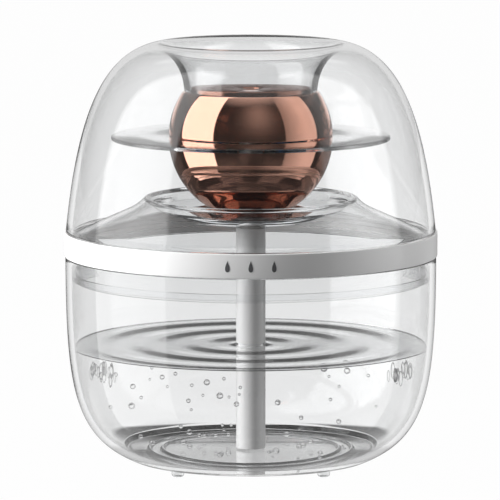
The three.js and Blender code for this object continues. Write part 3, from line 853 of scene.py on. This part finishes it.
# pulls of the bowl's curve, in and down from the rim, and out and up from the dish
BOWL_RIM_PULL = 5.0 * MM
BOWL_DISH_PULL = (4.0 * MM, 1.2 * MM)
partition_low, partition_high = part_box("partition_bell")
saucer_z = partition_high.z
flange_low_z = tank_high.z + SEAT_PLAY
flange_high_z = flange_low_z + FLANGE_H
step_z = flange_high_z + STEP_H
slope = curve(*[(SAUCER_R + out, step_z + share * (saucer_z - step_z)) for out, share in BEND],
              (SAUCER_R, saucer_z - SAUCER_EDGE), 24)
dish_low, dish_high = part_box("chrome_dish")
dish_r = dish_high.x
hole_r = dish_r + BOWL_PLAY
hole_z = dish_high.z - 0.8 * MM
bowl = curve((SAUCER_R - SAUCER_RIM_W, saucer_z - SAUCER_EDGE),
             (SAUCER_R - BOWL_RIM_PULL, saucer_z - BOWL_RIM_PULL),
             (hole_r + BOWL_DISH_PULL[0], hole_z + BOWL_DISH_PULL[1]), (hole_r, hole_z), 28)
# the undersides stop short of each other under the rim, where they would cross
under_bowl = [q for q in offset(bowl, BOWL_WALL) if q[0] < SAUCER_R - 5.5 * MM]
cone = [(STEP_R, step_z), *slope]
under = [q for q in offset(cone, PARTITION_WALL) if q[0] > SAUCER_R - 2.5 * MM]
skirt_in = SKIRT_R - PARTITION_WALL
under_slope = (under[0][1] - under[1][1]) / (under[0][0] - under[1][0])
partition = turned("clear_partition", soften([
    *bowl[::-1],
    (SAUCER_R - SAUCER_RIM_W + PARTITION_CORNER, saucer_z),
    (SAUCER_R - PARTITION_CORNER, saucer_z),
    *slope[::-1],
    (STEP_R, step_z),
    (STEP_R, flange_high_z),
    (LIP_R, flange_high_z),
    (LIP_R, flange_low_z),
    (SKIRT_R, flange_low_z),
    (SKIRT_R - SKIRT_TAPER, partition_low.z),
    (skirt_in - SKIRT_TAPER, partition_low.z),
    (skirt_in, under[0][1] + (skirt_in - under[0][0]) * under_slope),
    *under[1:],
    *under_bowl,
], PARTITION_CORNER))
partition.data.materials.append(clear_material(
    "clear_partition_plastic", (0.9, 0.903, 0.905), 1.14, 0.0, (0.0, 0.004)))
# the thin wall of the bowl carries a coat that takes nearly all its shine off
partition.data.materials.append(clear_material(
    "coated_bowl", (0.985, 0.987, 0.99), 1.02, 0.0, (0.0, 0.004)))
for face in partition.data.polygons:
    if face.center.xy.length < BOWL_COAT_R:
        face.material_index = 1
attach(partition, "head")
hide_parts("partition_bell")


# ==============================================
# Tank seal: a moulded silicone ring around the partition's skirt. Its three soft ribs press
# on the tank's wall.
# ==============================================
SEAL_RIBS = 3
STEPS_PER_RIB = 8
HALF_RIPPLE = 0.1 * MM
seal_low, seal_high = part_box("tank_seal")
seal_out = seal_high.x
seal_in = SKIRT_R + SEAT_PLAY
seal_ribs = []
for share in np.linspace(0, 1, SEAL_RIBS * STEPS_PER_RIB + 1):
    ripple = HALF_RIPPLE * (1 + math.cos(2 * math.pi * SEAL_RIBS * share))
    seal_ribs.append((seal_out - ripple, seal_low.z + share * (seal_high.z - seal_low.z)))
seal = turned("silicone_seal", [(seal_in, seal_low.z), *seal_ribs, (seal_in, seal_high.z)])
seal.data.materials.append(clear_material(
    "clear_seal_silicone", (0.97, 0.975, 0.98), 1.12, 0.01, (0.02, 0.06)))
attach(seal, "head")
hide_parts("tank_seal")


# ==============================================
# Dish: a shallow plate of polished chrome under the ball. It is spun to its shape, its edge
# is turned up, and a hole in its middle lets the tube's socket through.
# ==============================================
DISH_WALL = 1.5 * MM
DISH_BASE_R = 22.9 * MM
DISH_H = 5.2 * MM
DISH_CORNER = 0.5 * MM
# pulls of the side's curve, out and up from the base, and in from the edge and up
DISH_BASE_PULL = (7.0 * MM, 0.3 * MM)
DISH_EDGE_PULL = (-0.3 * MM, 1.8 * MM)
SOCKET_HOLE_R = 6.2 * MM
dish_outside = curve(*[(r, dish_low.z + up) for r, up in (
    (DISH_BASE_R, 0.0), (DISH_BASE_R + DISH_BASE_PULL[0], DISH_BASE_PULL[1]),
    (dish_r + DISH_EDGE_PULL[0], DISH_EDGE_PULL[1]), (dish_r, DISH_H))], 30)
dish = turned("polished_dish", soften([
    (SOCKET_HOLE_R, dish_low.z),
    *dish_outside,
    *offset(dish_outside, DISH_WALL)[::-1],
    (SOCKET_HOLE_R, dish_low.z + DISH_WALL),
], DISH_CORNER))
dish.data.materials.append(matt_material(
    "polished_chrome", (0.86, 0.87, 0.88), 0.02, 30.0, 0.01, metal=1.0, spread=0.015))
dish.data.materials.append(matt_material(
    "painted_shade_chrome", (0.42, 0.41, 0.405), 0.05, 30.0, 0.01, metal=1.0, spread=0.03))
# the inside, which faces up, is the darker of the two: a copy of the chrome with painted shade
# in its colour
for face in dish.data.polygons:
    if face.normal.z > 0.25:
        face.material_index = 1
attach(dish, "head")
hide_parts("chrome_dish")


# ==============================================
# Ball: two spun halves in mirror-polished copper plate, the upper one flattened on top,
# with the clear disc clamped between them.
# ==============================================
BALL_WALL = 2.0 * MM
BALL_CORNER = 0.35 * MM
HALF_DISC = 1.0 * MM
DISC_CORNER = 0.7 * MM
DISC_IN_BALL = 4.6 * MM
INLET_PLAY = 0.15 * MM
# the room cut for the inlet runs past it to the front and back, right through the wall
INLET_CUT_LOW = 6.0 * MM
INLET_CUT_HIGH = 9.0 * MM
ball_r = (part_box("ball_lower_shell")[1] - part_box("ball_lower_shell")[0]).x / 2
disc_low, disc_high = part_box("equator_disc")
ball_z = (disc_low.z + disc_high.z) / 2
seat_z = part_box("ball_upper_shell")[1].z
collar_low, collar_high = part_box("mist_collar")
collar_r = collar_high.x
COLLAR_ROOT_R = collar_r - 1.2 * MM
copper = matt_material("mirror_copper", (0.86, 0.46, 0.34), 0.035, 26.0, 0.012, metal=1.0,
                       spread=0.02, shade=0.03)


def ball_arc(radius, low, high, steps):
    """Arc of the ball's round, centred on the axis, between two heights."""
    angles = np.linspace(math.asin((low - ball_z) / radius), math.asin((high - ball_z) / radius),
                         steps + 1)
    return [(radius * math.cos(a), ball_z + radius * math.sin(a)) for a in angles]


def block_mesh(name, low, high):
    """A closed box between two corners, used only to cut with."""
    verts = [(x, y, z) for z in (low[2], high[2]) for y in (low[1], high[1])
             for x in (low[0], high[0])]
    faces = [(0, 2, 3, 1), (4, 5, 7, 6), (0, 1, 5, 4), (2, 6, 7, 3), (0, 4, 6, 2),
             (1, 3, 7, 5)]
    return mesh_piece(name, verts, faces)


def cut_away(piece, cutter):
    """Takes the cutter's room out of the piece, which stays a plain mesh."""
    modifier = piece.modifiers.new("cut", "BOOLEAN")
    modifier.operation = "DIFFERENCE"
    modifier.solver = "EXACT"
    modifier.object = cutter
    made_plain(piece)
    bpy.data.objects.remove(cutter)


ball_in = ball_r - BALL_WALL
edge = HALF_DISC + SEAT_PLAY
low_out = ball_z - math.sqrt(ball_r ** 2 - SOCKET_HOLE_R ** 2)
low_in = ball_z - math.sqrt(ball_in ** 2 - SOCKET_HOLE_R ** 2)
lower_ball = turned("copper_ball_lower", soften(
    ball_arc(ball_r, low_out, ball_z - edge, 60)
    + ball_arc(ball_in, low_in, ball_z - edge, 40)[::-1], BALL_CORNER))
upper_ball = turned("copper_ball_upper", soften(
    ball_arc(ball_r, ball_z + edge, seat_z, 40)
    + [(COLLAR_ROOT_R, seat_z), (COLLAR_ROOT_R, seat_z - BALL_WALL)]
    + ball_arc(ball_in, ball_z + edge, seat_z - BALL_WALL, 30)[::-1], BALL_CORNER))
inlet_low, inlet_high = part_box("charge_inlet")
cut_away(lower_ball, block_mesh(
    "inlet_room", inlet_low - Vector((INLET_PLAY, INLET_CUT_LOW, INLET_PLAY)),
    inlet_high + Vector((INLET_PLAY, INLET_CUT_HIGH, INLET_PLAY))))
for shell, node in ((lower_ball, "ball_lower_shell"), (upper_ball, "ball_upper_shell")):
    shell.data.materials.append(copper)
    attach(shell, "head")
    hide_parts(node)

disc = turned("clear_disc", soften(ring_section(
    ball_r - DISC_IN_BALL, disc_high.x, disc_low.z, disc_high.z), DISC_CORNER, steps=6),
    sides=220)
disc.data.materials.append(clear_material("clear_disc_plastic", (0.92, 0.923, 0.925)))
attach(disc, "head")
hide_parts("equator_disc")


# ==============================================
# Collar and button: the copper cap that closes the ball inside the dome's neck, with the
# mist hole in its middle and a flush push button in front of it.
# ==============================================
MIST_HOLE_R = 5.0 * MM
MIST_FLARE_R = 6.0 * MM
COLLAR_WALL = 1.6 * MM
COLLAR_CORNER = 0.4 * MM
BUTTON_PLAY = 0.15 * MM
collar_seat_z = seat_z + SEAT_PLAY
collar_plate_z = collar_high.z - COLLAR_WALL
root_out = COLLAR_ROOT_R - SEAT_PLAY
root_in = root_out - COLLAR_WALL
collar = turned("copper_collar", soften([
    (MIST_HOLE_R, collar_plate_z),
    (MIST_FLARE_R, collar_high.z),
    (collar_r, collar_high.z),
    (collar_r, collar_seat_z),
    (root_out, collar_seat_z),
    (root_out, collar_low.z),
    (root_in, collar_low.z),
    (root_in, collar_plate_z),
], COLLAR_CORNER))
button_low, button_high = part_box("power_button")
button_centre = (button_low + button_high) / 2
button_room_r = (button_high.x - button_low.x) / 2 + BUTTON_PLAY
button_room = turned("button_room", ring_section(
    0, button_room_r, seat_z + 0.1 * MM, collar_high.z + 2 * MM), sides=48)
button_room.data.transform(Matrix.Translation((0, button_centre.y, 0)))
cut_away(collar, button_room)
satin_copper = matt_material("satin_copper", (0.42, 0.2, 0.14), 0.16, 40.0, 0.02, metal=1.0,
                             spread=0.04)
satin_copper.node_tree.nodes["Principled BSDF"].inputs["Specular Tint"].default_value = (
    0.3, 0.16, 0.12, 1)
collar.data.materials.append(satin_copper)
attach(collar, "head")
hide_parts("mist_collar")


def finish_node(material, *names):
    """Gives a material to parts that are shown with their own shape."""
    for name in names:
        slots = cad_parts[name].data.materials
        slots.clear()
        slots.append(material)


finish_node(copper, "power_button")


# ==============================================
# Wick tube: a white extruded tube, cut square at both ends. It locks on its socket under the
# dish and hangs to just over the tank's floor.
# ==============================================
TUBE_WALL = 1.3 * MM
TUBE_CORNER = 0.4 * MM
tube_low, tube_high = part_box("wick_tube")
tube = turned("white_wick_tube", soften(ring_section(
    tube_r - TUBE_WALL, tube_r, tube_low.z, tube_high.z), TUBE_CORNER), sides=96)
tube.data.materials.append(
    matt_material("white_tube_plastic", (0.9, 0.9, 0.9), 0.3, coat=0.1))
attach(tube, "tube")
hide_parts("wick_tube")


# ==============================================
# Tube fittings: the socket that the tube locks on and its nut, the strainer pressed into the
# tube's foot, and the coiled spring of steel wire that lifts the wick.
# ==============================================
moulded_white = matt_material("moulded_white", (0.84, 0.84, 0.83), 0.42, 120.0, 0.08)
steel = matt_material("bright_steel", (0.62, 0.62, 0.63), 0.24, 220.0, 0.05, metal=1.0,
                      spread=0.1, shade=0.12)
finish_node(moulded_white, "tube_socket", "tube_strainer")
finish_node(steel, "socket_nut", "wick_spring")


# ==============================================
# Inside the ball: a moulded frame carries two cells and the control board, three screws hold
# the board, and a cotton wick rises through its guide to the steel mist disc.
# ==============================================
def fibre_material(name, color):
    """Twisted cotton: fine strands that wind up the wick."""
    made, tree = new_material(name)
    coord = add_node(tree, "ShaderNodeTexCoord").outputs["Object"]
    strand = add_node(tree, "ShaderNodeTexWave", {
        "Vector": coord, "Scale": 420.0, "Distortion": 3.0, "Detail": 3.0},
        wave_type="BANDS", bands_direction="DIAGONAL")
    tone = two_tones(tree, strand.outputs["Fac"], [c * 0.82 for c in color], color)
    shader = add_node(tree, "ShaderNodeBsdfPrincipled", {
        "Base Color": tone, "Roughness": 0.92, "Sheen Weight": 0.3,
        "Normal": relief(tree, strand.outputs["Fac"], 0.5, 0.0003)})
    add_node(tree, "ShaderNodeOutputMaterial", {"Surface": shader.outputs[0]})
    return made


def board_material(name):
    """Green board: solder mask over copper tracks, which show as paler lines."""
    made, tree = new_material(name)
    coord = add_node(tree, "ShaderNodeTexCoord").outputs["Object"]
    track = add_node(tree, "ShaderNodeTexBrick", {
        "Vector": coord, "Scale": 160.0, "Mortar Size": 0.03}, offset=0.35)
    tone = two_tones(tree, track.outputs["Fac"], (0.012, 0.11, 0.045), (0.03, 0.2, 0.08))
    shader = add_node(tree, "ShaderNodeBsdfPrincipled", {
        "Base Color": tone, "Roughness": 0.38, "Coat Weight": 0.4,
        "Normal": relief(tree, track.outputs["Fac"], 0.3, 0.0002)})
    add_node(tree, "ShaderNodeOutputMaterial", {"Surface": shader.outputs[0]})
    return made


finish_node(moulded_white, "inner_frame", "wick_guide")
finish_node(matt_material("grey_silicone_rubber", (0.3, 0.3, 0.31), 0.62, 140.0, 0.1),
            "ball_gasket", "atomizer_seal")
finish_node(steel, "atomizer_disc", "board_screw_1", "board_screw_2", "board_screw_3",
            "charge_inlet")
finish_node(fibre_material("twisted_cotton", (0.86, 0.84, 0.78)), "cotton_wick")
finish_node(matt_material("cell_sleeve", (0.05, 0.16, 0.42), 0.28, 90.0, 0.05, coat=0.3),
            "battery_cell_1", "battery_cell_2")
finish_node(board_material("green_board"), "control_board", "charge_board")
finish_node(matt_material("black_switch_plastic", (0.02, 0.02, 0.022), 0.5, 160.0, 0.08),
            "tact_switch")


# ==============================================
# Dome cover: one clear blown shell. Its crest turns inwards into a funnel whose neck
# stands on the ball, and its lower lip drops into the band.
# ==============================================
CREST_R = 46.4 * MM
NECK_R = 30.75 * MM
DOME_WALL = 2.9 * MM
DOME_CORNER = 0.6 * MM
DOME_SHY = 0.3 * MM
# the pulls that bend the side: in from the tank's side and up a share of the height, then
# out from the crest and down from it
SIDE_PULL_IN = 6.0 * MM
SIDE_PULL_UP = 0.583
CREST_PULL = (30.0 * MM, -4.2 * MM)
# the pulls that bend the funnel: in from the crest, then out and up from the neck's foot
FUNNEL_CREST_PULL = 8.3 * MM
FUNNEL_NECK_PULL = (0.8 * MM, 13.3 * MM)
dome_low, dome_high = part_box("dome_cover")
crest_z = dome_high.z
dome_shoulder_z = band_high.z + SEAT_PLAY
neck_z = seat_z + SEAT_PLAY
lip_in = STEP_R + SEAT_PLAY
barrel = curve((tank_r - DOME_SHY, dome_shoulder_z),
               (tank_r - SIDE_PULL_IN,
                dome_shoulder_z + SIDE_PULL_UP * (crest_z - dome_shoulder_z)),
               (CREST_R + CREST_PULL[0], crest_z + CREST_PULL[1]),
               (CREST_R, crest_z), 80)
funnel = curve((CREST_R, crest_z), (CREST_R - FUNNEL_CREST_PULL, crest_z),
               (NECK_R + FUNNEL_NECK_PULL[0], neck_z + FUNNEL_NECK_PULL[1]),
               (NECK_R, neck_z), 40)
dome_inner = [q for q in offset(barrel + funnel[1:], DOME_WALL)
              if q[0] < CREST_R or q[1] > band_high.z + 1 * MM]
dome = turned("clear_dome", soften([
    (lip_in, dome_low.z),
    (LIP_R, dome_low.z),
    (LIP_R, dome_shoulder_z),
    *barrel,
    *funnel[1:],
    (NECK_R + DOME_WALL, neck_z),
    *dome_inner[-2::-1],
    (tank_r - TANK_WALL - 0.4 * MM, band_high.z - 0.4 * MM),
    (lip_in, step_z + SEAT_PLAY),
], DOME_CORNER), sides=220)
dome.data.materials.append(clear_material("clear_dome_plastic", CLEAR_TINT))
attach(dome, "cover")
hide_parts("dome_cover")


bpy.context.view_layer.update()
